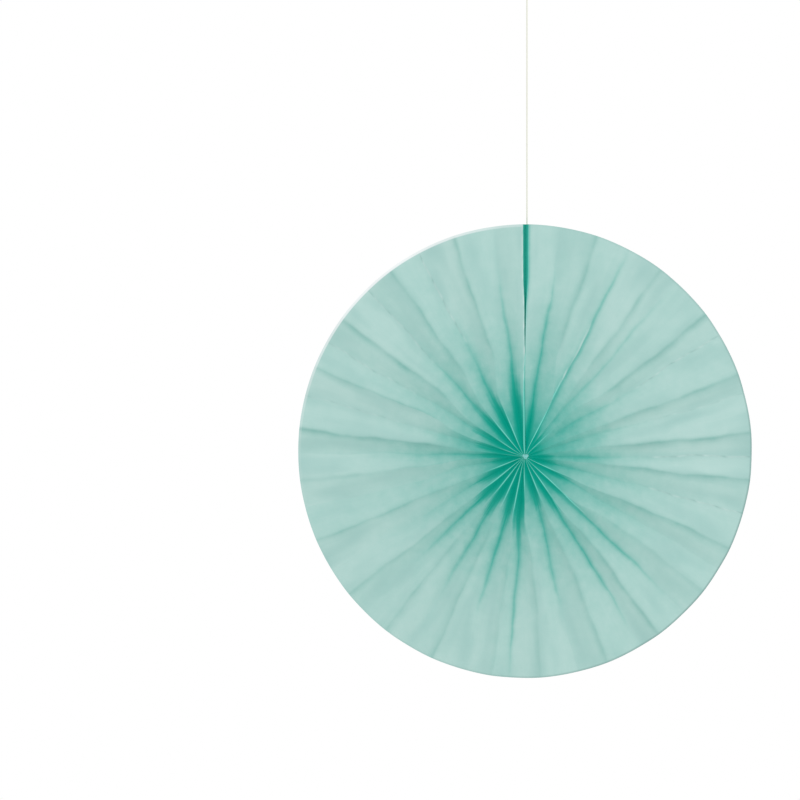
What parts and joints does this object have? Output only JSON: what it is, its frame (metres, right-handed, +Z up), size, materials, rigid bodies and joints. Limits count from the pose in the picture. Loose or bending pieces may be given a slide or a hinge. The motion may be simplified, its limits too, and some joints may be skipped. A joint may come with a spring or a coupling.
{
  "type": "paper fan rosette",
  "caption": "Round hanging decoration of mint paper, pleated and drawn together at its centre by a tie, on a cotton thread with a loop.",
  "frame": {"origin": "middle of the round paper rim, halfway through the depth of the pleats", "axes": "-Y out of the front that is seen, +Y to the back and +Z up along the hanging thread"},
  "size_m": [0.32, 0.021, 0.5225],
  "materials": {
    "mint_paper": "matte",
    "cotton_thread": "matte"
  },
  "bodies": {
    "root": {"pleated_disc": "mint_paper", "centre_tie": "cotton_thread", "hanging_thread": "cotton_thread", "stopper_knot": "cotton_thread", "loop_knot": "cotton_thread", "hanging_loop": "cotton_thread"}
  },
  "joints": []
}
